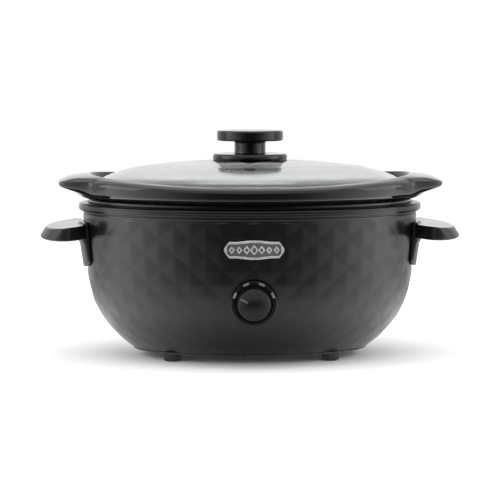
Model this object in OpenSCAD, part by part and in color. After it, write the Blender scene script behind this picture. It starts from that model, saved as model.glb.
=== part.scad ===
// Oval countertop slow cooker: lift-out stoneware crock, domed glass lid, four-position dial.
// Millimetres. The cooker stands on z = 0, its long axis lies along X and its front faces -Y.

/* [Housing] */
// Half length of the outer wall just under the trim ring
wall_half_x = 171; // [169:0.5:173]
// How much shorter each oval's half depth is than its half length
oval_inset = 48; // [44:1:52]
// Height of the wall's top edge
wall_top = 150; // [149:0.5:151]
// Height of the wall's bottom edge
wall_bottom = 9.5; // [9:0.1:10]
// Sheet thickness of the wall
wall_sheet = 1.5; // [1.2:0.1:1.8]
// Height of the diamond facets over their valleys
facet_height = 1.3; // [0.6:0.1:1.8]
// Number of diamonds around the wall
diamonds_around = 29; // [25:2:33]

/* [Crock] */
// Half length of the crock's rim between the tabs
rim_half_x = 180; // [178:0.5:182]
// Half length over the two carrying tabs
tab_half_x = 196; // [190:1:200]
// Thickness of the stoneware wall
crock_wall = 7.5; // [6:0.5:9]

/* [Lid] */
// Half length of the glass lid
lid_half_x = 161; // [158:0.5:162]
// Thickness of the glass
glass = 3.5; // [3:0.1:4]
// Diameter of the lid knob's top
knob_d = 68; // [60:1:74]

/* [Handles] */
// Half length over the side handles
handle_half_x = 215; // [205:1:225]
// Half depth of a side handle's grip
handle_half_y = 63; // [58:1:66]
// Half width of the plate that holds a side handle
plate_half_y = 34; // [30:1:38]

/* [Control] */
// Height of the dial's centre
dial_z = 66.5; // [65:0.5:68]
// Diameter of the dial knob
dial_d = 33.5; // [30:0.5:35]
// Diameter of the bezel around the dial
bezel_d = 47; // [46:0.5:49]

/* [Cord outlet] */
// Bore of the cord outlet bushing
cord_bore_d = 7.4; // [6:0.1:8]

/* [Hidden] */
$fn = 64;

columns = 2 * diamonds_around;
around = 72;
// Turns equal steps of the angle into nearly equal steps along the oval
spread = 4.4;
gap = 0.3;
running = 0.05;

// Facet rows, counted down from the top one
top_row_z = 143.3;
row_pitch = 14.8;
rows = 10;
mask_edge = 4;

// Radii of the oval corner between the crock's wall and its floor
corner_z = 62;
corner_x = 112;
corner_rx = 30;
corner_rz = 34;
crock_top_x = 158;
neck_x = 165.5;
seat_z = 174.5;
rim_z = 179;
rim_rise = 3;
tab_rise = 2;
tab_half_y = 46;
tab_blend = 16;
liner_gap = 1.5;
liner_sheet = 0.8;

// Dome of the lid
dome_shoulder_x = 147;
dome_shoulder_z = 190.5;
dome_rise = 12;
dome_power = 1.8;
lid_hole_r = 4;
knob_bottom = 220.5;
knob_top = 231;
skirt_r = 38.5;
skirt_top = 207.5;
stem_r = 16.2;

// Side handle section
grip_top = 136.6;
grip_fall = 2.4;
grip_bottom = 122.5;
plate_bottom = 92.5;
plate_top = 139;
plate_sheet = 5;
handle_steps = 12;
grip_mid_x = 186;
screw_zs = [104, 130];

// Front controls
bezel_face_y = -115.6;
bezel_depth = 9;
badge_z = 120.2;
badge_half_x = 29;
badge_half_z = 9.3;
badge_sheet = 2.2;
bushing_z = 58;
foot_x = 80;
foot_y = 45;
foot_r = 9.5;
foot_h = 8;

function mix(a, b, f) = a + (b - a) * f;
function clamp01(v) = min(1, max(0, v));
function smooth(v) = let(c = clamp01(v)) c * c * (3 - 2 * c);
function step_angle(i, n) = let(q = -90 + 360 * i / n) q + spread * sin(2 * q);

// Half length of the outer wall at height z: a slight draft, then a rounded belly
function wall_x(z) =
    wall_half_x - 0.07 * (wall_top - z) - 53 * pow(max(0, 98 - z) / 98, 2.8);
function wall_slope(z) = (wall_x(z + 0.5) - wall_x(z - 0.5));
function row_z(j) =
    j == 0 ? top_row_z : let(z = row_z(j - 1)) z - row_pitch / norm([1, wall_slope(z)]);

function oval(a, z, n = around) = [
    for (i = [0:n - 1])
        let(q = step_angle(i, n)) [a * cos(q), (a - oval_inset) * sin(q), z]
];
function ovals(profile, n = around) = [for (p = profile) oval(p[0], p[1], n)];

// Two triangles for each cell between neighbouring rings, split along alternate diagonals
function side_faces(n, first, second, turn) = [
    for (i = [0:n - 1])
        let(
            a = first * n + i,
            b = first * n + (i + 1) % n,
            c = second * n + (i + 1) % n,
            d = second * n + i
        )
        each ((i + turn) % 2 == 0 ? [[a, d, c], [a, c, b]] : [[a, d, b], [d, c, b]])
];

// A ring-shaped solid: the chain of rings closes on itself
module loop_solid(rings, turn = 0) {
    n = len(rings[0]);
    m = len(rings);
    polyhedron(
        points = [for (r = rings) each r],
        faces = [for (j = [0:m - 1]) each side_faces(n, j, (j + 1) % m, j + turn)],
        convexity = 8
    );
}

// A cup or plate: the chain of rings is closed by a flat cap at each end
module stack_solid(rings) {
    n = len(rings[0]);
    m = len(rings);
    polyhedron(
        points = [for (r = rings) each r],
        faces = [
            [for (i = [0:n - 1]) i],
            for (j = [0:m - 2]) each side_faces(n, j, j + 1, j),
            [for (i = [n - 1:-1:0]) (m - 1) * n + i],
        ],
        convexity = 8
    );
}

// An open run of equal sections, closed by a cap at each end
module run_solid(sections) {
    n = len(sections[0]);
    m = len(sections);
    polyhedron(
        points = [for (s = sections) each s],
        faces = [
            [for (i = [0:n - 1]) i],
            for (j = [0:m - 2]) each side_faces(n, j, j + 1, 0),
            [for (i = [n - 1:-1:0]) (m - 1) * n + i],
        ],
        convexity = 8
    );
}

module along_y(y) {
    translate([0, y, 0])
        rotate([90, 0, 0])
            children();
}

// Frame on the rear wall: local +Z points straight out of the sloping sheet
module rear_wall_frame(z) {
    tilt = atan(wall_slope(z));
    translate([0, wall_x(z) - oval_inset, z])
        rotate([-90 - tilt, 0, 0])
            children();
}

// ---- Housing ----

// Facets fade out under the handles, the badge, the dial and the cord bushing;
// the plain area round a handle reaches one more row of facets out
function clear_of(dx, dz) = smooth(max(dx, dz) / mask_edge);
function handle_mask(x, y, z) =
    abs(x) < 100
    ? 1
    : clear_of(
        abs(y) - plate_half_y - row_pitch,
        max(plate_bottom - z, z - plate_top) - row_pitch
    );
function front_mask(x, z) =
    min(
        clear_of(abs(x) - badge_half_x, abs(z - badge_z) - badge_half_z),
        smooth((norm([x, z - dial_z]) - bezel_d / 2) / mask_edge)
    );
function rear_mask(x, z) = smooth((norm([x, z - bushing_z]) - 11) / mask_edge);
function facet_mask(x, y, z) =
    min(handle_mask(x, y, z), y < 0 ? front_mask(x, z) : rear_mask(x, z));
function facet_ring(j) =
    let(z = row_z(j), a = wall_x(z)) [
        for (i = [0:columns - 1])
            let(
                q = step_angle(i, columns),
                x = a * cos(q),
                y = (a - oval_inset) * sin(q),
                peak = (i + j) % 2 == 0 ? facet_height * mix(1, 0.6, j / rows) : 0,
                h = peak * facet_mask(x, y, z)
            ) [(a + h) * cos(q), (a - oval_inset + h) * sin(q), z]
    ];
function wall_rings() = [
    oval(wall_x(wall_bottom), wall_bottom, columns),
    for (j = [rows - 1:-1:0]) facet_ring(j),
    oval(wall_x(147.6), 147.6, columns),
    oval(wall_x(wall_top), wall_top, columns),
    oval(wall_x(wall_top) - wall_sheet, wall_top, columns),
    for (j = [0:rows - 1]) oval(wall_x(row_z(j)) - wall_sheet, row_z(j), columns),
    oval(wall_x(wall_bottom) - wall_sheet, wall_bottom, columns),
];

module housing() {
    color("#101012")
        difference() {
            loop_solid(wall_rings(), rows);
            translate([0, 0, dial_z])
                along_y(-95)
                    cylinder(h = 40, r = bezel_d / 2 + running);
            rear_wall_frame(bushing_z)
                cylinder(h = 20, r = 6.3, center = true);
            for (side = [-1, 1], z = screw_zs)
                translate([side * 165, 0, z])
                    rotate([0, 90, 0])
                        cylinder(h = 24, r = 2.3, center = true);
        }
}

module trim_ring() {
    profile = [
        [166.5, wall_top], [173, wall_top], [175.2, 151], [176, 152.8], [175.4, 154.6],
        [175.8, 156], [174.6, 157.6], [172, 158.2], [168.4, 158], [166.5, 156.6],
    ];
    color("#1a1a1c")
        loop_solid(ovals(profile));
}

function corner(extra, steps) = [
    for (k = [0:steps])
        let(u = 90 - 90 * k / steps)
        [corner_x + (corner_rx + extra) * cos(u), corner_z - (corner_rz + extra) * sin(u)]
];
function reversed(list) = [for (i = [len(list) - 1:-1:0]) list[i]];

module inner_liner() {
    inside = liner_gap;
    outside = liner_gap + liner_sheet;
    profile = [
        each corner(outside, 5),
        [crock_top_x + outside, wall_top - liner_sheet],
        [169, wall_top - liner_sheet],
        [169, wall_top],
        [crock_top_x + inside, wall_top],
        each reversed(corner(inside, 5)),
    ];
    color("#b9bcc0")
        stack_solid(ovals(profile));
}

// Half length of the liner's outside at height z on its straight wall
function liner_x(z) =
    mix(corner_x + corner_rx, crock_top_x, (z - corner_z) / (wall_top - corner_z))
    + liner_gap + liner_sheet;

band_low = 92;
band_high = 128;
band_gap = 0.5;
band_sheet = 1.6;

module heater_band() {
    profile = [
        [liner_x(band_low) + band_gap, band_low],
        [liner_x(band_low) + band_sheet, band_low],
        [liner_x(band_high) + band_sheet, band_high],
        [liner_x(band_high) + band_gap, band_high],
    ];
    color("#8f9296")
        loop_solid(ovals(profile));
}

// Spring clamp that pulls the heater band tight at the rear
module heater_clamp() {
    low = 106;
    tall = 8;
    color("#c2c4c7")
        translate([-22, liner_x(low + tall) - oval_inset + band_sheet, low])
            cube([44, 2.2, tall]);
}

module base_cover() {
    profile = [
        [118, 8], [120.6, 8], [120.6, wall_bottom], [119, wall_bottom], [119, 15],
        [118, 15], [118, wall_bottom],
    ];
    color("#2a2b2d")
        difference() {
            stack_solid(ovals(profile));
            translate([0, 0, 5])
                cylinder(h = 6, r = 2.7);
            for (sx = [-1, 1], sy = [-1, 1])
                translate([sx * foot_x, sy * foot_y, 5])
                    cylinder(h = 6, r = 1.9);
            for (ring = [-3:3])
                translate([ring * 9, 22, 5])
                    cylinder(h = 6, r = 2);
        }
}

module base_stud() {
    color("#c9cacc")
        union() {
            translate([0, 0, 23.7])
                cylinder(h = 2, r = 9);
            translate([0, 0, 3.4])
                cylinder(h = 20.3, r = 2.45);
        }
}

module base_nut() {
    color("#c9cacc")
        translate([0, 0, 4])
            difference() {
                union() {
                    cylinder(h = 3.2, r = 4.6, $fn = 6);
                    translate([0, 0, 3.2])
                        cylinder(h = 0.8, r = 6);
                }
                translate([0, 0, -1])
                    cylinder(h = 6, r = 2.5);
            }
}

module foot(sx, sy) {
    color("#141414")
        translate([sx * foot_x, sy * foot_y, 0])
            rotate_extrude()
                polygon([
                    [5, 0], [foot_r - 2.2, 0], [foot_r - 0.9, 0.6], [foot_r - 0.3, 1.8],
                    [foot_r, foot_h], [2, foot_h], [2, 4], [5, 4],
                ]);
}

module foot_screws() {
    color("#c9cacc")
        for (sx = [-1, 1], sy = [-1, 1])
            translate([sx * foot_x, sy * foot_y, 0]) {
                translate([0, 0, 1.8])
                    cylinder(h = 2.1, r = 3.8);
                translate([0, 0, 3.9])
                    cylinder(h = 9, r = 1.8);
            }
}

// ---- Side handles ----

function wall_out(z, q, off) = (wall_x(z) + off) * cos(q);

// Upright plate that follows the wall; its lower end is rounded
function plate_section(q, side) =
    let(
        y = (wall_x(120) - oval_inset) * sin(q),
        low = plate_bottom + 7 * pow(abs(y) / plate_half_y, 4),
        inner = gap,
        outer = gap + plate_sheet
    ) [
        for (p = [
            [wall_out(low, q, inner), low],
            [wall_out(plate_top, q, inner), plate_top],
            [wall_out(plate_top, q, outer - 1.5), plate_top],
            [wall_out(grip_top, q, outer + 1), grip_top - 1],
            [wall_out(grip_bottom, q, outer + 3), grip_bottom + 1],
            [wall_out(grip_bottom, q, outer + 1.2), grip_bottom - 4],
            [wall_out(low, q, outer - 1), low],
        ]) [side * p[0], side * y, p[1]]
    ];

// Inner and outer edge of the grip in plan, at distance y from its middle
function grip_outer(y) =
    grip_mid_x + (handle_half_x - grip_mid_x) * pow(1 - pow(abs(y) / handle_half_y, 2.2), 0.4);
function grip_inner(y, z) =
    abs(y) < plate_half_y
    ? wall_out(z, asin(y / (wall_x(120) - oval_inset)), gap + 1.5)
    : grip_mid_x - 19 * sqrt((handle_half_y - abs(y)) / (handle_half_y - plate_half_y));

// Section across the grip: its top falls towards the tip, its outer face leans in
function grip_section(y, side) =
    let(
        outer = grip_outer(y),
        lean = min(6.4, 0.4 * (outer - grip_inner(y, grip_top))),
        tip_top = grip_top - grip_fall * (outer - 172) / (handle_half_x - 172)
    ) [
        for (p = [
            [grip_inner(y, grip_top), grip_top],
            [outer - lean, tip_top],
            [outer - 0.7 * lean, tip_top - 1.4],
            [outer, grip_bottom + 2.8],
            [outer - 0.1 * lean, grip_bottom + 1.2],
            [outer - 0.45 * lean, grip_bottom],
            [grip_inner(y, grip_bottom), grip_bottom],
        ]) [side * p[0], side * y, p[1]]
    ];

module side_handle(side) {
    reach = asin(plate_half_y / (wall_x(120) - oval_inset));
    plate = [
        for (k = [0:handle_steps])
            plate_section(reach * (2 * k / handle_steps - 1), side)
    ];
    grip = [
        for (k = [-handle_steps:handle_steps])
            grip_section(0.998 * handle_half_y * sin(90 * k / handle_steps), side)
    ];
    color("#151517")
        difference() {
            union() {
                run_solid(plate);
                run_solid(grip);
            }
            for (z = screw_zs)
                translate([side * (wall_x(z) + 1), 0, z])
                    rotate([0, 90, 0])
                        cylinder(h = 7, r = 1.95, center = true);
        }
}

module handle_screws() {
    color("#c9cacc")
        for (side = [-1, 1], z = screw_zs)
            translate([side * (wall_x(z) - wall_sheet - 0.5), 0, z])
                rotate([0, side * 90, 0]) {
                    translate([0, 0, -2.4])
                        cylinder(h = 2.4, r = 3.6);
                    cylinder(h = 5.4, r = 1.9);
                }
}

// ---- Front of the housing ----

// Plaque with pointed ends that follows the curve of the front wall
function badge_height(x) =
    let(f = abs(x) / badge_half_x, waist = 1 - 0.12 * smooth((f - 0.16) / 0.22))
    badge_half_z * (waist - 0.7 * pow(max(0, f - 0.8) / 0.2, 2.2));
function badge_section(x) =
    let(
        h = badge_height(x),
        q = acos(x / wall_x(badge_z)),
        low = badge_z - h,
        high = badge_z + h,
        back = function(z) -(wall_x(z) - oval_inset + gap) * sin(q)
    ) [
        [x, back(low), low],
        [x, back(low) - badge_sheet + 0.7, low],
        [x, back(low) - badge_sheet, low + 0.9],
        [x, back(high) - badge_sheet, high - 0.9],
        [x, back(high) - badge_sheet + 0.7, high],
        [x, back(high), high],
    ];

module badge() {
    color("#b8b6b2")
        run_solid([for (k = [14:-1:-14]) badge_section(k * badge_half_x / 14)]);
}

module dial_bezel() {
    color("#17171a")
        translate([0, 0, dial_z])
            along_y(bezel_face_y + bezel_depth)
                rotate_extrude()
                    polygon([
                        [5.2, 0], [bezel_d / 2, 0], [bezel_d / 2, bezel_depth - 1.5],
                        [bezel_d / 2 - 0.5, bezel_depth - 0.4], [bezel_d / 2 - 1.5, bezel_depth],
                        [dial_d / 2 + 0.9, bezel_depth], [dial_d / 2 + 0.9, bezel_depth - 1.8],
                        [5.2, bezel_depth - 1.8],
                    ]);
}

// Four raised marks, one at each position of the dial
module dial_marks() {
    color("#8c8e92")
        translate([0, 0, dial_z])
            along_y(bezel_face_y)
                for (k = [-1.5:1:1.5])
                    rotate([0, 0, 90 + 44 * k - 9])
                        rotate_extrude(angle = 18)
                            translate([bezel_d / 2 - 4.3, 0])
                                square([2.4, 0.25]);
}

switch_back_y = bezel_face_y + bezel_depth;

module rotary_switch() {
    color("#d8d2c0")
        translate([0, 0, dial_z])
            difference() {
                union() {
                    along_y(switch_back_y + 0.1)
                        cylinder(h = 8.3, r = 4.9);
                    translate([-13, switch_back_y + 0.1, -12])
                        cube([26, 6.2, 24]);
                }
                along_y(switch_back_y + 6)
                    cylinder(h = 20, r = 3);
            }
}

module switch_nut() {
    color("#c9cacc")
        translate([0, 0, dial_z])
            along_y(bezel_face_y + 1.8)
                difference() {
                    cylinder(h = 0.9, r = 7.5, $fn = 6);
                    translate([0, 0, -1])
                        cylinder(h = 4, r = 5);
                }
}

module cord_bushing() {
    color("#151515")
        rear_wall_frame(bushing_z)
            rotate_extrude()
                polygon([
                    [cord_bore_d / 2, -7], [6.2, -7], [6.2, 0.7], [9.5, 0.7], [9.5, 2.6],
                    [8.6, 3.6], [6.6, 4.2], [5.6, 11], [cord_bore_d / 2, 11],
                ]);
}

module terminal_block() {
    color("#ece7da")
        difference() {
            translate([-62, 8, wall_bottom + 0.05])
                cube([34, 13, 10]);
            for (k = [0:2])
                translate([-55 + 10 * k, 14.5, 12])
                    cylinder(h = 12, r = 2.6);
        }
}

// Thermal cut-off in its clip under the floor of the liner
module thermal_fuse() {
    color("#d7d9db")
        union() {
            translate([35, -10, 20.6])
                rotate([0, 90, 0])
                    cylinder(h = 24, r = 3);
            translate([42, -14, 23.4])
                cube([8, 8, 2.2]);
        }
}

// A wire along straight stretches, with eight sides and mitred bends
function unit(v) = v / norm(v);
function wire_way(points, k) =
    let(last = len(points) - 1)
    unit(
        (k > 0 ? unit(points[k] - points[k - 1]) : [0, 0, 0])
        + (k < last ? unit(points[k + 1] - points[k]) : [0, 0, 0])
    );
function wire_section(points, k, r) =
    let(d = wire_way(points, k), u = unit(cross([0.3, 0.2, 1], d)), v = cross(d, u))
    [for (i = [0:7]) points[k] + r * (u * cos(45 * i) + v * sin(45 * i))];

module wire(points) {
    run_solid([for (k = [0:len(points) - 1]) wire_section(points, k, 1.2)]);
}

// Leads from the terminal block to the cut-off and up to the switch
module lead_wires() {
    color("#cfcabc") {
        wire([[-26.7, 14.5, 15], [-10, 12, 18], [20, 8, 19], [33.7, -10, 20.6]]);
        wire([
            [-63.3, 14.5, 15], [-70, 0, 16], [-50, -55, 18], [-12, -82, 22],
            [-6, -97, 38], [-6, -103.4, 53.2],
        ]);
    }
}

// ---- Crock ----

// Each point is half length, height, share of the tab's reach, share of the tab's lift
function crock_profile() =
    let(w = crock_wall, top_in = crock_top_x - w)
    concat(
        [for (p = corner(0, 5)) [p[0], p[1], 0, 0]],
        [
            [crock_top_x, wall_top + gap, 0, 0], [neck_x, wall_top + gap, 0, 0],
            [neck_x, 161.5, 0, 0], [170.5, 165, 0.1, 0.2], [177, 167.5, 0.45, 1],
            [rim_half_x, 171, 0.93, 1], [rim_half_x, 175, 1, 1], [178.6, 177.8, 1, 1],
            [175.5, rim_z, 1, 1], [166, rim_z - 0.6, 0, 0.6], [163.2, rim_z - 1.6, 0, 0.4],
            [162.6, seat_z, 0, 0], [top_in + 1.2, seat_z, 0, 0], [top_in, seat_z - 2, 0, 0],
            [top_in - 0.5, wall_top, 0, 0],
        ],
        [for (p = reversed(corner(-w, 5))) [p[0], p[1], 0, 0]]
    );
function crock_ring(p) = [
    for (i = [0:around - 1])
        let(
            q = step_angle(i, around),
            x = p[0] * cos(q),
            y = (p[0] - oval_inset) * sin(q),
            w = smooth((tab_half_y + tab_blend - abs(y)) / tab_blend) * (abs(x) > 90 ? 1 : 0),
            tip = tab_half_x - 3 * pow(y / tab_half_y, 2),
            reach = w * p[2] * (tip - rim_half_x * abs(cos(q))),
            lift = p[3] * (rim_rise * cos(q) * cos(q) + tab_rise * w)
        ) [x + sign(x) * reach, y, p[1] + lift]
];

module crock() {
    color("#0d0d0f")
        stack_solid([for (p = crock_profile()) crock_ring(p)]);
}

// ---- Lid ----

function dome_z(x) = dome_shoulder_z + dome_rise * (1 - pow(x / dome_shoulder_x, dome_power));
function lid_profile(drop, shrink) = [
    [dome_shoulder_x + 8.5 - shrink * 0.8, dome_shoulder_z - 3.2 - drop * 0.6],
    [dome_shoulder_x - shrink * 0.3, dome_shoulder_z - drop],
    [120, dome_z(120) - drop],
    [90, dome_z(90) - drop],
    [75, dome_z(69) - drop],
    [62, dome_z(30) - drop],
];

// The dome keeps a constant inset, so its top is capped by a small flat oval
module lid_glass() {
    outside = [
        [lid_half_x, seat_z + gap],
        [lid_half_x, seat_z + 3.4],
        [lid_half_x - 1.4, seat_z + 9],
        each lid_profile(0, 0),
    ];
    inside = [
        [lid_half_x - 5, seat_z + gap],
        [lid_half_x - 5.4, seat_z + 8],
        each lid_profile(glass, glass),
    ];
    color([0.75, 0.8, 0.8, 0.35])
        difference() {
            stack_solid(ovals(concat(reversed(inside), outside)));
            translate([0, 0, 180])
                cylinder(h = 40, r = lid_hole_r);
        }
}

glass_top = dome_z(30);
glass_under = dome_z(30) - glass;

module knob_skirt() {
    color("#161618")
        rotate_extrude()
            polygon([
                [3, glass_top + 0.05], [12, glass_top + 0.05], [12, glass_top + 1.6],
                [skirt_r - 3.5, glass_top + 1.6], [skirt_r - 2.2, glass_top + 0.05],
                [skirt_r - 0.4, glass_top + 0.05], [skirt_r, glass_top + 1.5],
                [skirt_r - 0.5, skirt_top - 1.2], [skirt_r - 2.4, skirt_top], [3, skirt_top],
            ]);
}

module lid_knob() {
    r = knob_d / 2;
    color("#161618")
        rotate_extrude()
            polygon([
                [1.95, skirt_top], [stem_r, skirt_top], [stem_r - 0.6, skirt_top + 3],
                [stem_r, knob_bottom - 2], [stem_r + 2, knob_bottom], [r - 1.6, knob_bottom],
                [r - 0.4, knob_bottom + 1], [r, knob_bottom + 2.6], [r, knob_top - 2.4],
                [r - 0.8, knob_top - 0.8], [r - 2.6, knob_top], [0, knob_top],
                [0, 218], [1.95, 218],
            ]);
}

module lid_washer() {
    color("#202022")
        translate([0, 0, glass_under - 1.6])
            difference() {
                cylinder(h = 1.55, r = 10.5);
                translate([0, 0, -1])
                    cylinder(h = 4, r = 2.4);
            }
}

module lid_screw() {
    color("#c9cacc")
        translate([0, 0, glass_under - 1.65]) {
            translate([0, 0, -3.4])
                difference() {
                    rotate_extrude()
                        polygon([[0, 0], [3.2, 0], [5.6, 1.4], [6.4, 3.4], [0, 3.4]]);
                    translate([-4, -0.6, -1])
                        cube([8, 1.2, 2.2]);
                    translate([-0.6, -4, -1])
                        cube([1.2, 8, 2.2]);
                }
            cylinder(h = 217 - glass_under, r = 1.9);
        }
}

// ---- Dial ----

dial_back_y = bezel_face_y + 0.3;
dial_side_h = 10.6;
dial_dome_h = 4.8;
pointer_floor = 9.8;
// The dial rests on its first mark, this far anticlockwise from the top
dial_rest = 66;

function dial_dome(r) = dial_side_h + dial_dome_h * (1 - pow(r / (dial_d / 2 - 1), 2));

// A bar near the edge of the dial, along its radius; its top follows the dome
module pointer_bar(top) {
    rotate([0, 0, dial_rest])
        rotate([90, 0, 90])
            linear_extrude(1.8, center = true)
                polygon([
                    [7, pointer_floor], [14.6, pointer_floor], [14.6, dial_dome(14.6) + top],
                    [11, dial_dome(11) + top], [7, dial_dome(7) + top],
                ]);
}

module dial_knob() {
    r = dial_d / 2;
    steps = 8;
    color("#121214")
        translate([0, 0, dial_z])
            along_y(dial_back_y)
                difference() {
                    rotate_extrude()
                        polygon([
                            [0, 0], [r, 0], [r, 1.6], [r - 0.6, 2.4],
                            for (k = [0:steps]) let(x = (r - 1) * (1 - k / steps)) [x, dial_dome(x)],
                        ]);
                    translate([0, 0, -1])
                        cylinder(h = 9.5, r = 3);
                    pointer_bar(4);
                }
}

// Raised line that shows the setting
module dial_pointer() {
    color("#3a3b3e")
        translate([0, 0, dial_z])
            along_y(dial_back_y)
                pointer_bar(0.4);
}

module switch_shaft() {
    color("#c9cacc")
        translate([0, 0, dial_z])
            along_y(switch_back_y + 5.4)
                cylinder(h = switch_back_y + 5.4 - dial_back_y + 8, r = 3 - running);
}

housing();
trim_ring();
inner_liner();
heater_band();
heater_clamp();
base_cover();
base_stud();
base_nut();
foot(-1, -1);  // foot_front_left
foot(1, -1);  // foot_front_right
foot(-1, 1);  // foot_rear_left
foot(1, 1);  // foot_rear_right
foot_screws();
side_handle(-1);  // handle_left
side_handle(1);  // handle_right
handle_screws();
badge();
dial_bezel();
dial_marks();
rotary_switch();
switch_nut();
cord_bushing();
terminal_block();
thermal_fuse();
lead_wires();
crock();
lid_glass();
knob_skirt();
lid_knob();
lid_washer();
lid_screw();
dial_knob();
dial_pointer();
switch_shaft();
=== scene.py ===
import math

import bmesh
import bpy
import numpy as np
from mathutils import Matrix, Vector


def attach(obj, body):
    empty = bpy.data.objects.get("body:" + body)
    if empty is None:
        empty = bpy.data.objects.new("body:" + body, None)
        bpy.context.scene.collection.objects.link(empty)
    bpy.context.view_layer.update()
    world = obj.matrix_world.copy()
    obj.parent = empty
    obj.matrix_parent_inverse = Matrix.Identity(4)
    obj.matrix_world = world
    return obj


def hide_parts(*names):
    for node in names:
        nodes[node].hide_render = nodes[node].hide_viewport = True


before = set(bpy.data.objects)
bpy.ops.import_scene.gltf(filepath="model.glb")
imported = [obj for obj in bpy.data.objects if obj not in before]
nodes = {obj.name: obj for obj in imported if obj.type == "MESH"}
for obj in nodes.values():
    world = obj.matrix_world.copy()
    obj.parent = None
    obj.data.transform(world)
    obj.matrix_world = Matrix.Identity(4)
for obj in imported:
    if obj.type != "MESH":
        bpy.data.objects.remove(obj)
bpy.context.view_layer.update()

# ---- Driving dimensions, in millimetres ----
# They repeat the part's own, but RIM_RISE, FACET_HEIGHT and BADGE_Z follow the real object more closely.

MM = 0.001
OVAL_INSET = 48
STEP_SPREAD = 4.4

WALL_HALF_X = 171
WALL_TOP = 150
WALL_BOTTOM = 9.5
WALL_SHEET = 1.5
WALL_DRAFT = 0.07
BELLY_TOP, BELLY_DEPTH, BELLY_POWER = 98, 53, 2.8
FACET_HEIGHT = 0.7
COLUMNS = 58
ROWS = 10
TOP_ROW_Z = 143.3
ROW_PITCH = 14.8

CORNER_X, CORNER_Z, CORNER_RX, CORNER_RZ = 112, 62, 30, 34
CROCK_TOP_X = 158
CROCK_WALL = 7.5
RIM_HALF_X = 180
RIM_Z = 179
SEAT_Z = 174.5
TAB_HALF_X = 196
TAB_HALF_Y = 46
TAB_BLEND = 16
RIM_RISE = 9
LINER_GAP = 1.5
LINER_SHEET = 0.8

LID_HALF_X = 161
SHOULDER_X, SHOULDER_Z = 147, 190.5
DOME_RISE, DOME_POWER = 12, 1.8
GLASS = 3.5
LID_HOLE_R = 4
SKIRT_R, SKIRT_TOP = 38.5, 207.5
STEM_R = 16.2
KNOB_R, KNOB_BOTTOM, KNOB_TOP = 34, 220.5, 231

HANDLE_HALF_X = 215
HANDLE_HALF_Y = 63
GRIP_MID_X = 186
GRIP_TOP, GRIP_BOTTOM, GRIP_FALL = 136.6, 122.5, 2.4
PLATE_HALF_Y = 34
PLATE_BOTTOM, PLATE_TOP, PLATE_SHEET = 92.5, 139, 5
GAP = 0.3

DIAL_Z = 66.5
BEZEL_R, BEZEL_FACE_Y, BEZEL_DEPTH = 23.5, -115.6, 9
DIAL_R = 16.75
DIAL_REST = 66
BADGE_Z, BADGE_HALF_X, BADGE_HALF_Z, BADGE_SHEET = 119.5, 29, 9.3, 2.2
BUSHING_Z = 58
FOOT_X, FOOT_Y, FOOT_R, FOOT_H = 80, 45, 9.5, 8


def mix(a, b, share):
    return a + (b - a) * share


def smooth(v):
    """An even step from 0 to 1 as v goes from 0 to 1."""
    c = np.clip(v, 0, 1)
    return c * c * (3 - 2 * c)


def step_angles(count):
    """Angles round an oval, spread so that the points along it lie evenly."""
    base = -math.pi / 2 + 2 * math.pi * np.arange(count) / count
    return base + math.radians(STEP_SPREAD) * np.sin(2 * base)


def wall_x(z):
    """Half length of the housing at height z: a slight draft, then a rounded belly."""
    belly = np.maximum(0, BELLY_TOP - z) / BELLY_TOP
    return WALL_HALF_X - WALL_DRAFT * (WALL_TOP - z) - BELLY_DEPTH * belly**BELLY_POWER


def wall_slope(z):
    return wall_x(z + 0.5) - wall_x(z - 0.5)


def wall_y(x, z):
    """Depth of the front wall at x and z."""
    a = wall_x(z)
    return -(a - OVAL_INSET) * np.sqrt(1 - (x / a) ** 2)


# ---- Mesh building ----


def add_mesh(name, points, faces):
    """A mesh object in the scene, from points in metres."""
    mesh = bpy.data.meshes.new(name)
    mesh.from_pydata(points, [], faces)
    obj = bpy.data.objects.new(name, mesh)
    bpy.context.scene.collection.objects.link(obj)
    return obj


def make_piece(name, points, faces, sharp=35):
    """A piece from points in millimetres, smooth but for edges sharper than an angle in degrees."""
    obj = add_mesh(name, (np.asarray(points, float) * MM).tolist(), faces)
    return finish_mesh(obj, sharp)


def finish_mesh(obj, sharp):
    """Turns all faces outwards and shades them smooth between sharp edges."""
    bm = bmesh.new()
    bm.from_mesh(obj.data)
    bmesh.ops.recalc_face_normals(bm, faces=bm.faces)
    bm.to_mesh(obj.data)
    bm.free()
    obj.data.shade_smooth()
    obj.data.set_sharp_from_angle(angle=math.radians(sharp))
    return obj


def band_faces(count, first, second, closed=True):
    """The faces between two of a stack's rings, each of count points."""
    low, high = first * count, second * count
    faces = []
    for i in range(count if closed else count - 1):
        k = (i + 1) % count
        faces.append((low + i, low + k, high + k, high + i))
    return faces


def stack(name, rings, loop=False, sharp=35):
    """A solid from a chain of equal rings: closed on itself, or capped at both ends."""
    count, last = len(rings[0]), len(rings) - 1
    faces = [face for j in range(last) for face in band_faces(count, j, j + 1)]
    if loop:
        faces += band_faces(count, last, 0)
    else:
        faces += [tuple(range(count)), tuple(last * count + i for i in range(count))]
    return make_piece(name, np.concatenate(rings), faces, sharp)


def oval(a, z, count):
    """One ring at height z, with half length a."""
    q = step_angles(count)
    return np.stack([a * np.cos(q), (a - OVAL_INSET) * np.sin(q), np.full(count, float(z))], axis=1)


def ovals(profile, count):
    """Rings from a profile of (half length, height)."""
    return [oval(p[0], p[1], count) for p in profile]


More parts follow.
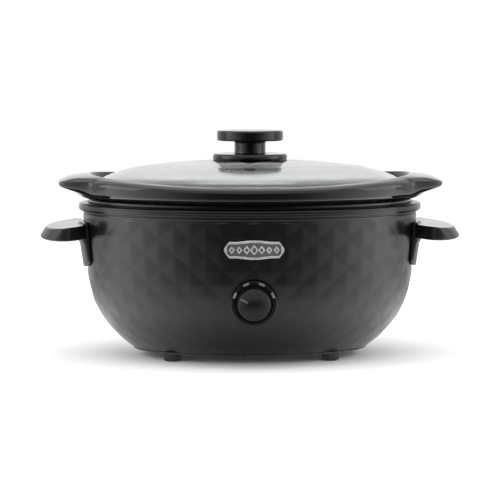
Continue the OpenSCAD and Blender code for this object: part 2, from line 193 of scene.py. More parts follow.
def soften(points, rounding, steps, closed=False):
    """Rounds each corner of a chain of points with a short curve; values after the first two blend too."""
    most = 0.48
    chain = [np.array(p, float) for p in points]
    made = []
    for k, (p, r) in enumerate(zip(chain, rounding)):
        if r <= 0 or (not closed and k in (0, len(chain) - 1)):
            made.append(p)
            continue
        before, after = chain[k - 1] - p, chain[(k + 1) % len(chain)] - p
        start = p + before * min(r / np.linalg.norm(before[:2]), most)
        end = p + after * min(r / np.linalg.norm(after[:2]), most)
        for step in range(steps + 1):
            t = step / steps
            made.append((1 - t) ** 2 * start + 2 * t * (1 - t) * p + t * t * end)
    return made


def lathe(name, profile, place, segments, loop=False, sharp=35):
    """Turns a profile of (radius, height) about local Z; place takes it to the part's frame."""
    turns = 2 * math.pi * np.arange(segments) / segments
    points, rings = [], []
    for r, h in profile:
        first = len(points)
        if r == 0:
            points.append((0, 0, h))
            rings.append([first])
        else:
            points += [(r * math.cos(t), r * math.sin(t), h) for t in turns]
            rings.append(list(range(first, first + segments)))
    faces = []
    pairs = list(zip(rings, rings[1:]))
    if loop:
        pairs.append((rings[-1], rings[0]))
    for low, high in pairs:
        for i in range(segments):
            k = (i + 1) % segments
            if len(low) == 1 and len(high) > 1:
                faces.append((low[0], high[k], high[i]))
            elif len(high) == 1 and len(low) > 1:
                faces.append((low[i], low[k], high[0]))
            elif len(low) > 1:
                faces.append((low[i], low[k], high[k], high[i]))
    if not loop:
        faces += [tuple(ring) for ring in (rings[0], rings[-1]) if len(ring) > 1]
    placed = [place @ Vector(p) for p in points]
    return make_piece(name, placed, faces, sharp)


def out_of_front(y):
    """On the dial's axis at depth y: local Z points out of the front and local Y up."""
    return Matrix(((1, 0, 0, 0), (0, 0, -1, y), (0, 1, 0, DIAL_Z), (0, 0, 0, 1)))


def out_of_rear(z):
    """Local Z points straight out of the sloping rear wall."""
    tilt = math.atan(wall_slope(z))
    turn = Matrix.Rotation(-math.pi / 2 - tilt, 4, "X")
    return Matrix.Translation((0, wall_x(z) - OVAL_INSET, z)) @ turn


def upright(x=0, y=0):
    return Matrix.Translation((x, y, 0))


def bake_modifiers(obj, sharp):
    """Replaces the object's mesh by what its modifiers make of it."""
    graph = bpy.context.evaluated_depsgraph_get()
    made = bpy.data.meshes.new_from_object(obj.evaluated_get(graph))
    obj.modifiers.clear()
    obj.data = made
    return finish_mesh(obj, sharp)


def combine(obj, other, operation, sharp):
    """Joins the other object to this one, or cuts it away, and uses it up."""
    boolean = obj.modifiers.new("boolean", "BOOLEAN")
    boolean.operation = operation
    boolean.solver = "EXACT"
    boolean.object = other
    bake_modifiers(obj, sharp)
    bpy.data.objects.remove(other)
    return obj


# ---- Materials ----


class Shader:
    """A node material under construction, with its coordinates in metres."""

    def __init__(self, name, **sockets):
        self.material = bpy.data.materials.new(name)
        self.material.use_nodes = True
        self.tree = self.material.node_tree
        self.surface = self.tree.nodes["Principled BSDF"]
        self.place = self.add("ShaderNodeTexCoord").outputs["Object"]
        for socket, value in sockets.items():
            self.surface.inputs[socket.replace("_", " ")].default_value = value

    def add(self, kind, links=None, **settings):
        made = self.tree.nodes.new(kind)
        for name, value in settings.items():
            setattr(made, name, value)
        for socket, value in (links or {}).items():
            if isinstance(value, bpy.types.NodeSocket):
                self.tree.links.new(value, made.inputs[socket])
            else:
                made.inputs[socket].default_value = value
        return made

    def stretched(self, scale):
        """The coordinates, scaled unevenly."""
        return self.add("ShaderNodeMapping", {"Vector": self.place, "Scale": scale}).outputs["Vector"]

    def noise(self, scale, detail, place=None, roughness=0.5):
        links = {"Vector": place or self.place, "Scale": scale, "Detail": detail, "Roughness": roughness}
        return self.add("ShaderNodeTexNoise", links).outputs["Fac"]

    def cells(self, scale, output="Distance"):
        return self.add("ShaderNodeTexVoronoi", {"Vector": self.place, "Scale": scale}).outputs[output]

    def split(self, vector):
        return self.add("ShaderNodeSeparateXYZ", {"Vector": vector}).outputs

    def between(self, source, low, high, low_to, high_to):
        """The source's stretch from low to high, spread over another, and held at its ends."""
        links = {"Value": source, "From Min": low, "From Max": high, "To Min": low_to, "To Max": high_to}
        return self.add("ShaderNodeMapRange", links).outputs["Result"]

    def blend(self, share, first, second):
        """A colour between two colours or sources of colour."""
        colour_inputs, colour_output = (6, 7), 2
        links = {"Factor": share}
        for index, value in zip(colour_inputs, (first, second)):
            links[index] = value if isinstance(value, bpy.types.NodeSocket) else (*value, 1)
        return self.add("ShaderNodeMix", links, data_type="RGBA").outputs[colour_output]

    def math(self, operation, first, second=0.0):
        return self.add("ShaderNodeMath", {0: first, 1: second}, operation=operation).outputs["Value"]

    def fade(self, share, first, second):
        """A number that goes from the first to the second as the share goes from 0 to 1."""
        first_part = self.math("MULTIPLY", first, self.math("SUBTRACT", 1.0, share))
        return self.math("ADD", first_part, self.math("MULTIPLY", share, second))

    def vector_math(self, operation, first, second=(0, 0, 0), output="Vector"):
        return self.add("ShaderNodeVectorMath", {0: first, 1: second}, operation=operation).outputs[output]

    def bump(self, *layers):
        """Stacks bumps: each layer is (height source, height in metres)."""
        normal = None
        for source, distance in layers:
            links = {"Height": source, "Distance": distance, "Strength": 1.0}
            if normal:
                links["Normal"] = normal
            normal = self.add("ShaderNodeBump", links).outputs["Normal"]
        self.drive("Normal", normal)

    def drive(self, socket, source):
        self.tree.links.new(source, self.surface.inputs[socket])


def grey(value, warm=0.0):
    return (value * (1 + warm), value, value * (1 - warm))


def dark_coat(name, low, high, rough, grain_scale, grain, specular=0.5):
    """A dark moulded or painted surface: cloudy tone, uneven gloss and a coarse and a fine grain."""
    s = Shader(name, Specular_IOR_Level=specular)
    cloud = s.between(s.noise(14, 4), 0.35, 0.65, 0, 1)
    s.drive("Base Color", s.blend(cloud, grey(low), grey(high)))
    smear = s.noise(45, 5, roughness=0.65)
    s.drive("Roughness", s.between(smear, 0.3, 0.7, *rough))
    s.bump((s.noise(grain_scale, 2), grain), (s.noise(grain_scale * 3.1, 1), grain * 0.4))
    return s


def worn_phenolic():
    """The side handles' satin phenolic, its upward faces polished by use."""
    satin, polished = 0.36, 0.1
    s = dark_coat("handle_phenolic", 0.005, 0.008, (0.3, satin), 1500, 0.00001, 0.34)
    upward = s.split(s.add("ShaderNodeNewGeometry").outputs["Normal"])["Z"]
    s.drive("Roughness", s.between(upward, 0.75, 0.97, satin, polished))
    return s


def stoneware_glaze():
    """Gloss black glaze, bare stoneware on the foot of the pot, small pits and slow waves."""
    glaze_line = 0.0297
    s = Shader("stoneware_glaze", Coat_Weight=0.3, Coat_Roughness=0.03, Specular_IOR_Level=0.3)
    wander = s.between(s.noise(60, 3), 0.3, 0.7, -0.0012, 0.0012)
    height = s.math("ADD", s.split(s.place)["Z"], wander)
    glazed = s.between(height, glaze_line - 0.0005, glaze_line + 0.0005, 0, 1)
    speck = s.between(s.cells(700), 0.0, 0.12, 1, 0)
    clay = s.blend(speck, (0.21, 0.185, 0.155), (0.1, 0.085, 0.07))
    tone = s.blend(s.noise(20, 3), grey(0.003), grey(0.006))
    s.drive("Base Color", s.blend(glazed, clay, tone))
    gloss = s.between(s.noise(50, 4), 0.3, 0.7, 0.07, 0.12)
    s.drive("Roughness", s.math("MULTIPLY", s.fade(glazed, 0.8, 0.1), gloss))
    pits = s.between(s.cells(260), 0.0, 0.07, 0, 1)
    s.bump((s.noise(38, 2), 0.00007), (pits, 0.00002))
    return s


def clear_glass():
    """Faintly green glass with slow waves and a thin film of grease."""
    s = Shader("clear_glass", Transmission_Weight=1.0, IOR=1.5)
    s.drive("Base Color", s.blend(s.noise(9, 2), (0.86, 0.88, 0.875), (0.9, 0.915, 0.91)))
    s.drive("Roughness", s.between(s.noise(24, 3), 0.35, 0.75, 0.05, 0.07))
    s.bump((s.noise(9, 1), 0.00004))
    return s


def brushed_metal(name, low, high, rough, stretch, metallic=1.0):
    """Faintly warm metal with stains and fine lines; the lines lie across the axis stretched most."""
    warm = 0.03
    s = Shader(name, Metallic=metallic)
    lines = s.noise(1, 3, s.stretched(stretch))
    stain = s.between(s.noise(120, 4), 0.3, 0.7, 0, 1)
    s.drive("Base Color", s.blend(stain, grey(low, warm), grey(high, warm)))
    s.drive("Roughness", s.between(lines, 0.3, 0.7, *rough))
    s.bump((lines, 0.00002))
    return s


def spangled_sheet():
    """Aluminised sheet: flat crystals, a little bloom and rolling marks."""
    s = Shader("aluminised_sheet", Metallic=1.0)
    crystal = s.cells(160, output="Color")
    tone = s.add("ShaderNodeSeparateColor", {"Color": crystal}).outputs["Red"]
    s.drive("Base Color", s.blend(tone, (0.5, 0.51, 0.52), (0.66, 0.67, 0.68)))
    s.drive("Roughness", s.between(tone, 0, 1, 0.3, 0.46))
    rolled = s.noise(1, 2, s.stretched((20, 20, 900)))
    s.bump((rolled, 0.00002), (tone, 0.00001))
    return s


def braided_sleeve():
    """Glass sleeving: two sets of strands that cross."""
    s = Shader("braided_sleeve", Roughness=0.75)
    first, second = (
        s.add("ShaderNodeTexWave", {"Vector": s.stretched((hand, 1, 1)), "Scale": 420}).outputs["Fac"]
        for hand in (1, -1)
    )
    weave = s.math("MULTIPLY", first, second)
    s.drive("Base Color", s.blend(weave, (0.35, 0.33, 0.28), (0.72, 0.7, 0.64)))
    s.bump((weave, 0.0001))
    return s


def even_surface(name, low, high, rough):
    """Print, moulded plastic or fired ceramic: a slightly mottled colour and a fine grain."""
    spread = 0.08
    s = Shader(name)
    s.drive("Base Color", s.blend(s.noise(110, 4), low, high))
    s.drive("Roughness", s.between(s.noise(300, 2), 0.3, 0.7, rough - spread, rough + spread))
    s.bump((s.noise(1500, 2), 0.00002))
    return s


def make_materials():
    """One material for each slot."""
    shaders = {
        "enamel": dark_coat("black_enamel", 0.002, 0.0035, (0.26, 0.34), 520, 0.00003),
        "stoneware": stoneware_glaze(),
        "lid_glass": clear_glass(),
        "trim": dark_coat("trim_gloss", 0.003, 0.005, (0.14, 0.2), 900, 0.000012, 0.32),
        "handle": worn_phenolic(),
        "knob": dark_coat("knob_phenolic", 0.003, 0.005, (0.08, 0.13), 1500, 0.000008, 0.36),
        "bezel": dark_coat("bezel_plastic", 0.004, 0.007, (0.24, 0.32), 1800, 0.00002, 0.35),
        "dial": dark_coat("dial_plastic", 0.004, 0.006, (0.26, 0.34), 1800, 0.000015, 0.3),
        "bushing": dark_coat("bushing_nylon", 0.013, 0.02, (0.42, 0.52), 1600, 0.00003),
        "foot_rubber": dark_coat("foot_rubber", 0.014, 0.022, (0.62, 0.78), 1300, 0.00006),
        "washer": dark_coat("washer_silicone", 0.02, 0.03, (0.5, 0.6), 1300, 0.00003),
        "base": dark_coat("base_powder_coat", 0.02, 0.03, (0.42, 0.55), 700, 0.00006),
        "badge": brushed_metal("badge_pewter", 0.34, 0.46, (0.22, 0.36), (60, 60, 2600), 0.35),
        "badge_field": dark_coat("badge_field_paint", 0.045, 0.075, (0.3, 0.42), 1500, 0.00003),
        "mark": even_surface("mark_print", (0.13, 0.13, 0.133), (0.17, 0.17, 0.173), 0.45),
        "pointer": even_surface("pointer_print", (0.045, 0.045, 0.047), (0.065, 0.065, 0.067), 0.4),
        "steel": brushed_metal("zinc_steel", 0.52, 0.66, (0.26, 0.4), (900, 900, 900)),
        "heater": brushed_metal("heater_sleeve", 0.42, 0.55, (0.35, 0.5), (30, 30, 1500)),
        "liner": spangled_sheet(),
        "wire": braided_sleeve(),
        "ceramic": even_surface("fired_ceramic", (0.74, 0.7, 0.61), (0.84, 0.81, 0.73), 0.45),
        "switch_body": even_surface("switch_thermoset", (0.6, 0.54, 0.4), (0.7, 0.65, 0.5), 0.42),
    }
    return {slot: shader.material for slot, shader in shaders.items()}


materials = make_materials()


def fit_out(obj, body, slot, node):
    """Gives a piece its body and the material of its slot, and hides the CAD node it stands for."""
    obj.data.materials.clear()
    obj.data.materials.append(materials[slot])
    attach(obj, body)
    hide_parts(node)
    return obj


# ---- Housing ----

CELL_STEPS = 10
HANDLE_SIDE_X = 100
CREST_SHARPNESS = 0.994
EDGE_ROUNDING = 0.003
LOWEST_FACET_SHARE = 0.6
FACETS_TOP, FACETS_TOP_FADE = 147.4, 3.6
FACETS_BOTTOM, FACETS_BOTTOM_FADE = WALL_BOTTOM + 1, 8
FACETS_CLEARANCE_FADE = 3.5
BEAD_Z, BEAD_HEIGHT, BEAD_WIDTH = 148.3, 0.5, 0.55


def row_heights():
    """Heights of the rows of facet corners, evenly spaced along the wall, from the top down."""
    heights = [TOP_ROW_Z]
    while len(heights) < ROWS:
        z = heights[-1]
        heights.append(z - ROW_PITCH / math.hypot(1, wall_slope(z)))
    return heights


ROW_Z = row_heights()


def soft_wave(v):
    """Triangle wave with slightly rounded turns: 0 at even numbers, 1 at odd ones."""
    return np.arccos(CREST_SHARPNESS * np.cos(math.pi * v)) / math.pi


def facet_share(column, row):
    """Height of the pressed pyramids, from 0 in the valleys to 1 on the peaks."""
    first, second = soft_wave(column + row), soft_wave(column - row)
    greater = (first + second + np.sqrt((first - second) ** 2 + EDGE_ROUNDING)) / 2
    return 1 - greater


def facet_mask(x, y, z):
    """The facets stop at the handle plates, the badge, the dial and the cord bushing."""

    def clear_of(distance):
        return smooth(distance / FACETS_CLEARANCE_FADE)

    plate_margin, dial_margin, bushing_clear_r = 0.8, 3, 11
    plate = np.maximum(np.abs(y) - PLATE_HALF_Y, np.maximum(PLATE_BOTTOM - z, z - PLATE_TOP))
    sides = np.where(np.abs(x) < HANDLE_SIDE_X, 1, clear_of(plate - plate_margin))
    badge = np.maximum(np.abs(x) - BADGE_HALF_X, np.abs(z - BADGE_Z) - BADGE_HALF_Z)
    dial = np.hypot(x, z - DIAL_Z) - BEZEL_R - dial_margin
    front = np.minimum(clear_of(badge), clear_of(dial))
    rear = clear_of(np.hypot(x, z - BUSHING_Z) - bushing_clear_r)
    return np.minimum(sides, np.where(y < 0, front, rear))


def wall_ring(z, row, count):
    """One ring of the outer wall, with its facets."""
    q = step_angles(count)
    column = np.arange(count) / CELL_STEPS
    a = float(wall_x(z))
    x, y = a * np.cos(q), (a - OVAL_INSET) * np.sin(q)
    edges = smooth((FACETS_TOP - z) / FACETS_TOP_FADE) * smooth((z - FACETS_BOTTOM) / FACETS_BOTTOM_FADE)
    peak = FACET_HEIGHT * mix(1, LOWEST_FACET_SHARE, max(0, row) / ROWS) * edges
    bead = BEAD_HEIGHT * math.exp(-(((z - BEAD_Z) / BEAD_WIDTH) ** 2))
    out = peak * facet_share(column, row) * facet_mask(x, y, z) + bead
    return np.stack([(a + out) * np.cos(q), (a - OVAL_INSET + out) * np.sin(q), np.full(count, z)], axis=1)


def wall_heights():
    """Heights and row numbers of the outer wall's rings, from the bottom edge up."""
    quarters = (0, 0.25, 0.5, 0.75)
    below = [(mix(WALL_BOTTOM, ROW_Z[-1], share), ROWS - share) for share in quarters]
    rows = np.linspace(ROWS - 1, 0, (ROWS - 1) * CELL_STEPS + 1)
    facets = [(float(np.interp(v, range(ROWS), ROW_Z)), v) for v in rows]
    first_step, step = 0.55, 0.37
    above = [(z, (TOP_ROW_Z - z) / ROW_PITCH) for z in np.arange(TOP_ROW_Z + first_step, WALL_TOP, step)]
    return below + facets + above


def make_bezel_hole():
    """The bezel's place in the wall, flared where the wall is pressed in round it."""
    hole_r, flare_r, flare_h, flare_from = BEZEL_R + 0.05, 3.4, 4.2, 0.2
    flare = [
        (hole_r + flare_r * (1 - math.cos(t)), flare_from + flare_h * math.sin(t))
        for t in np.linspace(0.15, 1.35, 9)
    ]
    profile = [(hole_r, -20), (hole_r, flare_from)] + flare + [(BEZEL_R + 7, 14)]
    return lathe("bezel_hole", profile, out_of_front(BEZEL_FACE_Y), 144)


def make_housing():
    count = COLUMNS * CELL_STEPS
    outside = [wall_ring(z, row, count) for z, row in wall_heights()]
    top = float(wall_x(WALL_TOP))
    lip = [oval(top, WALL_TOP, count), oval(top - WALL_SHEET, WALL_TOP, count)]
    levels = np.linspace(WALL_TOP - 8, WALL_BOTTOM, 14)
    inside = [oval(float(wall_x(z)) - WALL_SHEET, z, count) for z in levels]
    housing = stack("housing_shell", outside + lip + inside, loop=True, sharp=40)
    combine(housing, make_bezel_hole(), "DIFFERENCE", sharp=40)
    return fit_out(housing, "base_unit", "enamel", "housing")


def make_trim_ring():
    profile = [
        (166.5, 150), (173, 150), (175.2, 151), (176, 152.8), (175.35, 154.5),
        (175.8, 156), (174.6, 157.6), (172, 158.2), (168.4, 158), (166.5, 156.6),
    ]
    rounding = [0.4, 0.8, 0.9, 0.9, 0.8, 0.8, 0.9, 1.2, 0.9, 0.6]
    rings = ovals(soften(profile, rounding, 5, closed=True), 384)
    ring = stack("trim_ring_band", rings, loop=True, sharp=50)
    return fit_out(ring, "base_unit", "trim", "trim_ring")


def corner(extra, steps):
    """The rounded stretch between the pot's wall and its floor, from the floor up."""
    turns = [math.radians(90 - 90 * k / steps) for k in range(steps + 1)]
    return [
        (CORNER_X + (CORNER_RX + extra) * math.cos(u), CORNER_Z - (CORNER_RZ + extra) * math.sin(u))
        for u in turns
    ]


def make_liner():
    inside, outside, flange_x = LINER_GAP, LINER_GAP + LINER_SHEET, 169
    rim = soften(
        [
            (CORNER_X + CORNER_RX + outside, CORNER_Z), (CROCK_TOP_X + outside, WALL_TOP - LINER_SHEET),
            (flange_x, WALL_TOP - LINER_SHEET), (flange_x, WALL_TOP), (CROCK_TOP_X + inside, WALL_TOP),
            (CORNER_X + CORNER_RX + inside, CORNER_Z),
        ],
        [0, 1.2, 0.2, 0.2, 1.8, 0], 5,
    )
    profile = corner(outside, 16)[:-1] + rim + corner(inside, 16)[-2::-1]
    liner = stack("liner_well", ovals(profile, 240))
    return fit_out(liner, "base_unit", "liner", "inner_liner")


# ---- Side handles ----

PLATE_HALF_DEPTH = wall_x(120) - OVAL_INSET
GRIP_ROOT_X = float(wall_x(128)) + GAP + 2
GRIP_FALL_FROM_X = 172
GRIP_CURVE, GRIP_CURVE_ROOT = 2.2, 0.4
FINGER_HOLLOW = 19
EDGE_LEAN, EDGE_LEAN_SHARE = 6.4, 0.4
PLATE_CORNER_RISE = 7


def plate_section(q, side):
    """Upright section of the wall plate at angle q round the oval; side is -1 or 1."""
    y = PLATE_HALF_DEPTH * math.sin(q)
    low = PLATE_BOTTOM + PLATE_CORNER_RISE * (abs(y) / PLATE_HALF_Y) ** 4
    outer = GAP + PLATE_SHEET

    def at(z, off):
        return (float(wall_x(z)) + off) * math.cos(q), z

    corners = [
        at(low, GAP), at(PLATE_TOP, GAP), at(PLATE_TOP, outer - 1.5), at(GRIP_TOP, outer + 1),
        at(GRIP_BOTTOM, outer + 4), at(GRIP_BOTTOM - 6, outer + 0.8), at(low, outer - 1),
    ]
    return [(side * x, side * y, z) for x, z in corners]


def grip_section(y, side):
    """Upright section of the ledge at depth y."""
    fullness = (1 - (abs(y) / HANDLE_HALF_Y) ** GRIP_CURVE) ** GRIP_CURVE_ROOT
    outer = GRIP_MID_X + (HANDLE_HALF_X - GRIP_MID_X) * fullness
    if abs(y) < PLATE_HALF_Y:
        inner = GRIP_ROOT_X * math.sqrt(1 - (y / PLATE_HALF_DEPTH) ** 2)
    else:
        from_tip = (HANDLE_HALF_Y - abs(y)) / (HANDLE_HALF_Y - PLATE_HALF_Y)
        inner = GRIP_MID_X - FINGER_HOLLOW * math.sqrt(from_tip)
    lean = min(EDGE_LEAN, EDGE_LEAN_SHARE * (outer - inner))
    tip_top = GRIP_TOP - GRIP_FALL * (outer - GRIP_FALL_FROM_X) / (HANDLE_HALF_X - GRIP_FALL_FROM_X)
    edge = soften(
        [
            (inner, GRIP_TOP), (outer - lean, tip_top), (outer, GRIP_BOTTOM + 2.2),
            (outer - 0.4 * lean, GRIP_BOTTOM), (inner, GRIP_BOTTOM),
        ],
        [0, 1.8, 1.2, 1.2, 0], 4,
    )
    return [(side * x, side * y, z) for x, z in edge]


def make_handle(side, name):
    """The plate and the ledge, joined and blended into one moulding."""
    reach = math.asin(PLATE_HALF_Y / PLATE_HALF_DEPTH)
    plate = stack("plate", [plate_section(q, side) for q in np.linspace(-reach, reach, 33)])
    end = 0.998 * HANDLE_HALF_Y
    depths = [end * math.sin(t) for t in np.linspace(-math.pi / 2, math.pi / 2, 49)]
    grip = stack(f"{name}_moulding", [grip_section(y, side) for y in depths])
    combine(grip, plate, "UNION", sharp=35)
    remesh = grip.modifiers.new("remesh", "REMESH")
    remesh.mode = "VOXEL"
    remesh.voxel_size = 0.9 * MM
    relax = grip.modifiers.new("relax", "SMOOTH")
    relax.factor = 0.5
    relax.iterations = 9
    bake_modifiers(grip, sharp=80)
    return fit_out(grip, "base_unit", "handle", name)


# ---- Badge: a plaque with a raised border and a row of plain lozenges ----

BADGE_STEPS_X, BADGE_STEPS_Z = 220, 64
BADGE_BORDER = 2.1
BADGE_FIELD_DEPTH = 1.0
BADGE_WAIST = 0.14
BADGE_TIP, BADGE_TIP_DROP = 0.18, 0.72
LOZENGE_PITCH, LOZENGES_HALF_X = 7.2, 22
LOZENGE_MIDDLE, LOZENGE_NEXT, LOZENGE_OUTER = 5.6, 4.7, 4.1
LOZENGE_LEAN, LOZENGE_EDGE = 1.25, 0.9
HOLLOW_INSET, HOLLOW_EDGE, HOLLOW_DEPTH = 1.9, 0.7, 0.75
WORN_FROM, WORN_DEPTH = 0.93, 0.5


def badge_height(x):
    """Half height of the plaque at x: a slow swell in the middle and blunt points at the ends."""
    f = np.abs(x) / BADGE_HALF_X
    waist = 1 - BADGE_WAIST * smooth((f - 0.1) / 0.5)
    tip = (np.maximum(0, f - (1 - BADGE_TIP)) / BADGE_TIP) ** 1.3
    return BADGE_HALF_Z * (waist - BADGE_TIP_DROP * tip)


def badge_relief(x, z):
    """Height of the badge's face over its sunk field, from 0 to 1."""
    inset = badge_height(x) - np.abs(z)
    ends = (BADGE_HALF_X - np.abs(x)) * 0.8
    border = 1 - smooth((np.minimum(inset, ends) - BADGE_BORDER) / 0.5)
    place = np.abs(np.round(x / LOZENGE_PITCH))
    size = np.where(place == 0, LOZENGE_MIDDLE, np.where(place == 1, LOZENGE_NEXT, LOZENGE_OUTER))
    from_middle = np.abs(x - LOZENGE_PITCH * np.round(x / LOZENGE_PITCH))
    lozenge = size - LOZENGE_LEAN * from_middle - np.abs(z)
    shown = LOZENGE_PITCH * place < LOZENGES_HALF_X
    ornament = smooth(lozenge / LOZENGE_EDGE) * shown
    hollow = smooth((lozenge - HOLLOW_INSET) / HOLLOW_EDGE) * shown
    return np.maximum(border, ornament - HOLLOW_DEPTH * hollow)


def make_badge():
    """A curved plate over the wall: rows of points across its face, and two along its back."""
    xs = np.linspace(-BADGE_HALF_X, BADGE_HALF_X, BADGE_STEPS_X + 1)

    def row(share, lift):
        z = BADGE_Z + share * badge_height(xs)
        return np.stack([xs, wall_y(xs, z) - GAP - lift, z], axis=1)

    rings = []
    for share in np.linspace(-1, 1, BADGE_STEPS_Z + 1):
        sunk = BADGE_FIELD_DEPTH * (1 - badge_relief(xs, share * badge_height(xs)))
        worn_edge = WORN_DEPTH * smooth((abs(share) - WORN_FROM) / (1 - WORN_FROM))
        rings.append(row(share, BADGE_SHEET - sunk - worn_edge))
    rings += [row(1, 0), row(-1, 0)]
    count, last = len(xs), len(rings) - 1
    faces = [f for j in range(last) for f in band_faces(count, j, j + 1, closed=False)]
    faces += band_faces(count, last, 0, closed=False)
    faces += [tuple(j * count + end for j in range(last + 1)) for end in (0, count - 1)]
    badge = make_piece("badge_plaque", np.concatenate(rings), faces, sharp=50)
    fit_out(badge, "base_unit", "badge", "badge")
    paint_badge_field(badge)
    return badge


def paint_badge_field(badge):
    """Dark paint on the faces that lie sunk within the border."""
    badge.data.materials.append(materials["badge_field"])
    border_left_bare = 1.2
    painted_below = BADGE_SHEET - 0.55 * BADGE_FIELD_DEPTH
    for face in badge.data.polygons:
        x, y, z = (v / MM for v in face.center)
        lift = float(wall_y(x, z)) - GAP - y
        inside = abs(z - BADGE_Z) < badge_height(x) - border_left_bare
        if inside and lift < painted_below:
            face.material_index = 1


# ---- Dial ----

DIAL_BACK_Y = BEZEL_FACE_Y + GAP
DIAL_FACE_R, DIAL_SIDE_H, DIAL_DOME_H = DIAL_R - 1, 10.6, 4.8
MARK_TURNS = (-66, -22, 22, 66)
MARK_HALF_TURN = 9
POINTER_FROM, POINTER_TO, POINTER_HALF_WIDTH, POINTER_RISE = 7, 14.6, 0.9, 0.38


def make_bezel():
    inner, shaft_hole_r, floor = DIAL_R + 0.9, 5.2, BEZEL_DEPTH - 1.8
    profile = [
        (shaft_hole_r, 0), (BEZEL_R, 0), (BEZEL_R, BEZEL_DEPTH - 1.2), (BEZEL_R - 1.6, BEZEL_DEPTH),
        (inner + 0.8, BEZEL_DEPTH), (inner, BEZEL_DEPTH - 0.8), (inner, floor), (shaft_hole_r, floor),
    ]
    rounding = [0, 0.3, 1.1, 1.3, 0.5, 0.4, 0.1, 0]
    soft = soften(profile, rounding, 5, closed=True)
    bezel = lathe("dial_bezel_ring", soft, out_of_front(BEZEL_FACE_Y + BEZEL_DEPTH), 144, loop=True)
    return fit_out(bezel, "base_unit", "bezel", "dial_bezel")


def make_marks():
    """Four printed dashes with round ends, one at each position of the dial."""
    middle, half_width, thick = BEZEL_R - 3.1, 1.2, 0.22
    place = out_of_front(BEZEL_FACE_Y)
    points, faces = [], []
    reach = math.radians(MARK_HALF_TURN) - half_width / middle
    for mark_turn in MARK_TURNS:
        centre = math.radians(90 + mark_turn)
        outline = []
        for sign in (1, -1):
            for t in np.radians(np.linspace(-90, 90, 9)):
                r = middle + sign * half_width * math.sin(t)
                turn = centre + sign * (reach + half_width / middle * math.cos(t))
                outline.append((r * math.cos(turn), r * math.sin(turn)))
        first, size = len(points), len(outline)
        points += [place @ Vector((x, y, h)) for h in (0.0, thick) for x, y in outline]
        faces += [tuple(first + i for i in range(size)), tuple(first + size + i for i in range(size))]
        for i in range(size):
            j = (i + 1) % size
            faces.append((first + i, first + j, first + size + j, first + size + i))
    marks = make_piece("dial_marks_print", points, faces)
    return fit_out(marks, "base_unit", "mark", "dial_marks")


def dial_dome(r):
    """Height of the dial's face at radius r."""
    return DIAL_SIDE_H + DIAL_DOME_H * (1 - (r / DIAL_FACE_R) ** 2)


def make_dial():
    steps = 14
    shaft_hole = [(0, 8.5), (3, 8.5), (3, 0)]
    side = [(DIAL_R, 0), (DIAL_R, 1.6), (DIAL_R - 0.7, 2.6), (DIAL_FACE_R, DIAL_SIDE_H)]
    radii = [DIAL_FACE_R * (1 - k / steps) for k in range(1, steps + 1)]
    profile = shaft_hole + side + [(r, dial_dome(r)) for r in radii]
    rounding = [0, 0.1, 0.4, 0.5, 0.5, 0.5, 1.6] + [0] * steps
    soft = soften(profile, rounding, 5)
    dial = lathe("dial_knob_moulding", soft, out_of_front(DIAL_BACK_Y), 144, sharp=50)
    return fit_out(dial, "control_dial", "dial", "dial_knob")


def make_pointer():
    """A low rounded bar along the dial's radius."""
    place = out_of_front(DIAL_BACK_Y) @ Matrix.Rotation(math.radians(90 + DIAL_REST), 4, "Z")
    across = np.linspace(-POINTER_HALF_WIDTH, POINTER_HALF_WIDTH, 9)
    rings = []
    for r in np.linspace(POINTER_FROM, POINTER_TO, 20):
        face = dial_dome(r)
        from_end = min(r - POINTER_FROM, POINTER_TO - r)
        rise = POINTER_RISE * math.sqrt(min(1, (from_end + 0.02) / 0.7))
        foot = face - 1.2
        section = [(r, -POINTER_HALF_WIDTH, foot)]
        section += [(r, w, face + rise * (1 - (w / 0.95) ** 4)) for w in across]
        section += [(r, POINTER_HALF_WIDTH, foot)]
        rings.append([place @ Vector(p) for p in section])
    pointer = stack("dial_pointer_bar", rings)
    return fit_out(pointer, "control_dial", "pointer", "dial_pointer")


# ---- Feet and cord bushing ----


def make_foot(sx, sy, name):
    """A rubber pad with a screw hole and a recess for the screw's head."""
    hole_r, recess_r, recess_h = 2, 5, 4
    profile = [
        (hole_r, FOOT_H), (hole_r, recess_h), (recess_r, recess_h), (recess_r, 0),
        (FOOT_R - 2, 0), (FOOT_R - 0.4, 1.8), (FOOT_R, FOOT_H),
    ]
    soft = soften(profile, [0.1, 0.1, 0.1, 0.5, 1.4, 1.2, 0.3], 5, closed=True)
    foot = lathe(f"{name}_pad", soft, upright(sx * FOOT_X, sy * FOOT_Y), 72, loop=True)
    return fit_out(foot, "base_unit", "foot_rubber", name)


def make_bushing():
    """Cord gland with a flange and a ribbed, tapering nose round an open bore."""
    bore, neck_r, flange_r = 3.7, 6.2, 9.5
    profile = [
        (bore, -7), (neck_r, -7), (neck_r, 0.7), (flange_r, 0.7), (flange_r, 2.6),
        (flange_r - 0.9, 3.6), (7.0, 4.2),
    ]
    rounding = [0.3, 0.4, 0.1, 0.4, 0.6, 0.8, 0.6]
    ribs, rib_pitch, rib_taper = 4, 1.5, 0.22
    for k in range(ribs):
        base = 4.6 + rib_pitch * k
        outer = 6.5 - rib_taper * k
        profile += [
            (outer - 0.7, base), (outer, base + 0.45), (outer, base + 1.0), (outer - 0.8, base + 1.35),
        ]
        rounding += [0.1, 0.2, 0.2, 0.1]
    profile += [(5.2, 11), (bore + 0.2, 11), (bore, 10.8)]
    rounding += [0.3, 0.2, 0.1]
    soft = soften(profile, rounding, 3, closed=True)
    bushing = lathe("cord_bushing_gland", soft, out_of_rear(BUSHING_Z), 96, loop=True)
    return fit_out(bushing, "base_unit", "bushing", "cord_bushing")


# ---- Crock ----


